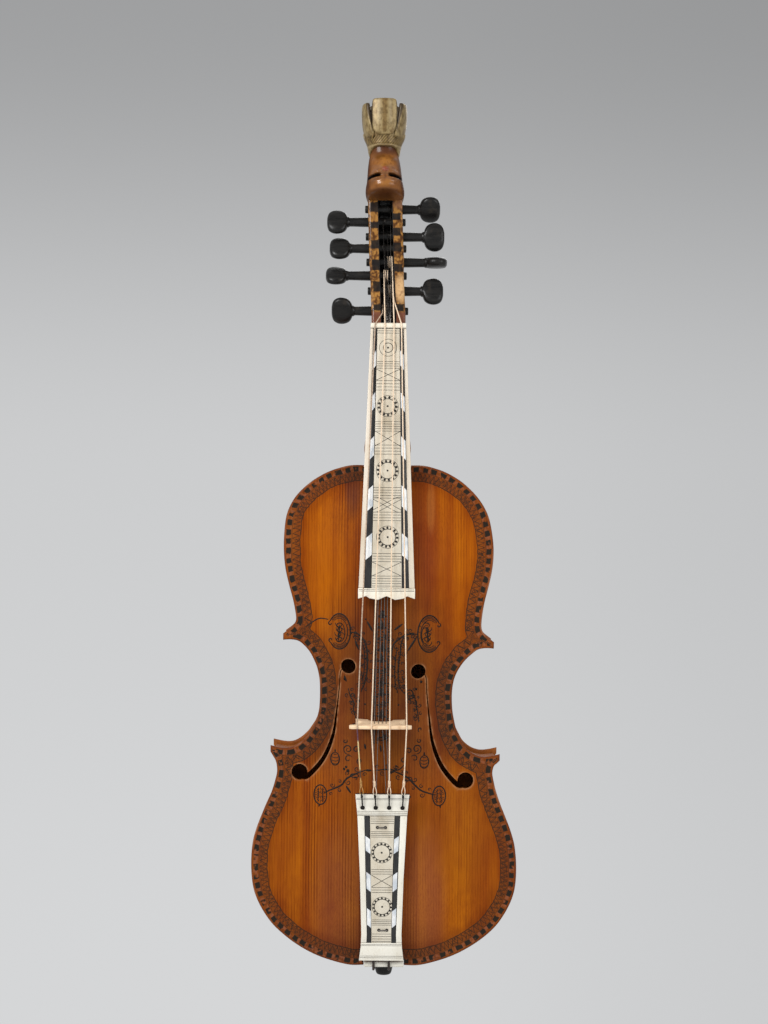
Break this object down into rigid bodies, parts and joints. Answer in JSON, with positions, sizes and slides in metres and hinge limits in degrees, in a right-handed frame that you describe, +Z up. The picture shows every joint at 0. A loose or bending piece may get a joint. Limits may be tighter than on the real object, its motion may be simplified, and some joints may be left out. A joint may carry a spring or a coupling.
{
  "type": "hardanger fiddle",
  "caption": "Bowed folk fiddle with sympathetic strings, carved crowned animal head, turning pegs and inlaid fingerboard.",
  "frame": {"origin": "hanging point: the middle of the narrow place under the crown, where a two-pronged wall hanger holds the head", "axes": "+Z up the instrument, from the end button towards the crown; -Y is the front, the side with the strings; +X is the treble side, the viewer's right"},
  "size_m": [0.1884, 0.0943, 0.6295],
  "materials": {
    "varnished_spruce": "varnished, quarter-sawn spruce with ink ornament",
    "varnished_maple": "varnished maple",
    "bare_spruce": "bare spruce inside the body",
    "stained_maple": "carved, stained and varnished maple",
    "gilt_paint": "gold-coloured paint on carved wood",
    "blackened_wood": "polished blackened wood",
    "bone": "polished bone with engraved lines",
    "black_horn": "polished black horn with pearl slips",
    "bare_maple": "bare maple",
    "gut": "twisted gut",
    "black_cord": "waxed black cord",
    "dark_gut": "old dark gut",
    "steel_wire": "drawn steel wire"
  },
  "bodies": {
    "fiddle": {"belly": "varnished_spruce", "back": "varnished_maple", "rib_upper_bass": "varnished_maple", "rib_upper_treble": "varnished_maple", "rib_waist_bass": "varnished_maple", "rib_waist_treble": "varnished_maple", "rib_lower_bass": "varnished_maple", "rib_lower_treble": "varnished_maple", "neck_block": "bare_spruce", "end_block": "bare_spruce", "corner_block_upper_bass": "bare_spruce", "corner_block_upper_treble": "bare_spruce", "corner_block_lower_bass": "bare_spruce", "corner_block_lower_treble": "bare_spruce", "bass_bar": "bare_spruce", "sound_post": "bare_spruce", "neck_and_head": "stained_maple", "crown": "gilt_paint", "end_button": "blackened_wood", "fingerboard": "blackened_wood", "tailpiece": "blackened_wood", "nut": "bone", "saddle": "bone", "fingerboard_centre_strip": "bone", "fingerboard_edge_bass": "bone", "fingerboard_edge_treble": "bone", "fingerboard_end_trim": "bone", "tailpiece_top_block": "bone", "tailpiece_foot_block": "bone", "tailpiece_centre_strip": "bone", "tailpiece_edge_bass": "bone", "tailpiece_edge_treble": "bone", "fingerboard_band_bass": "black_horn", "fingerboard_band_treble": "black_horn", "tailpiece_band_bass": "black_horn", "tailpiece_band_treble": "black_horn", "bridge": "bare_maple", "string_1_low": "gut", "string_2": "gut", "string_3": "gut", "string_4_high": "gut", "tail_loop_1_low": "black_cord", "tail_loop_2": "black_cord", "tail_loop_3": "black_cord", "tail_loop_4_high": "black_cord", "tail_gut": "dark_gut", "sympathetic_string_1": "steel_wire", "sympathetic_string_2": "steel_wire", "sympathetic_string_3": "steel_wire", "sympathetic_string_4": "steel_wire", "staple_upper": "steel_wire", "staple_lower": "steel_wire"},
    "peg_bass_1": {"peg_bass_1": "blackened_wood"},
    "peg_bass_2": {"peg_bass_2": "blackened_wood"},
    "peg_bass_3": {"peg_bass_3": "blackened_wood"},
    "peg_bass_4": {"peg_bass_4": "blackened_wood"},
    "peg_treble_1": {"peg_treble_1": "blackened_wood"},
    "peg_treble_2": {"peg_treble_2": "blackened_wood"},
    "peg_treble_3": {"peg_treble_3": "blackened_wood"},
    "peg_treble_4": {"peg_treble_4": "blackened_wood"}
  },
  "joints": [
    {"name": "peg_bass_1_turn", "type": "hinge", "parent": "fiddle", "child": "peg_bass_1", "pos_m": [-0.01517, 0.0075, -0.0465], "axis": [-1, 0, 0], "range_deg": [-270, 60]},
    {"name": "peg_bass_2_turn", "type": "hinge", "parent": "fiddle", "child": "peg_bass_2", "pos_m": [-0.01453, 0.002, -0.0666], "axis": [-1, 0, 0], "range_deg": [-270, 60]},
    {"name": "peg_bass_3_turn", "type": "hinge", "parent": "fiddle", "child": "peg_bass_3", "pos_m": [-0.01343, -0.0038, -0.0871], "axis": [-1, 0, 0], "range_deg": [-270, 60]},
    {"name": "peg_bass_4_turn", "type": "hinge", "parent": "fiddle", "child": "peg_bass_4", "pos_m": [-0.01228, -0.013, -0.1136], "axis": [-1, 0, 0], "range_deg": [-270, 60]},
    {"name": "peg_treble_1_turn", "type": "hinge", "parent": "fiddle", "child": "peg_treble_1", "pos_m": [0.00954, 0.0078, -0.0371], "axis": [-1, 0, 0], "range_deg": [-270, 60]},
    {"name": "peg_treble_2_turn", "type": "hinge", "parent": "fiddle", "child": "peg_treble_2", "pos_m": [0.01017, 0.0052, -0.0575], "axis": [-1, 0, 0], "range_deg": [-270, 60]},
    {"name": "peg_treble_3_turn", "type": "hinge", "parent": "fiddle", "child": "peg_treble_3", "pos_m": [0.01082, -0.001, -0.077], "axis": [-1, 0, 0], "range_deg": [-270, 60]},
    {"name": "peg_treble_4_turn", "type": "hinge", "parent": "fiddle", "child": "peg_treble_4", "pos_m": [0.01122, -0.0082, -0.0987], "axis": [-1, 0, 0], "range_deg": [-270, 60]}
  ]
}
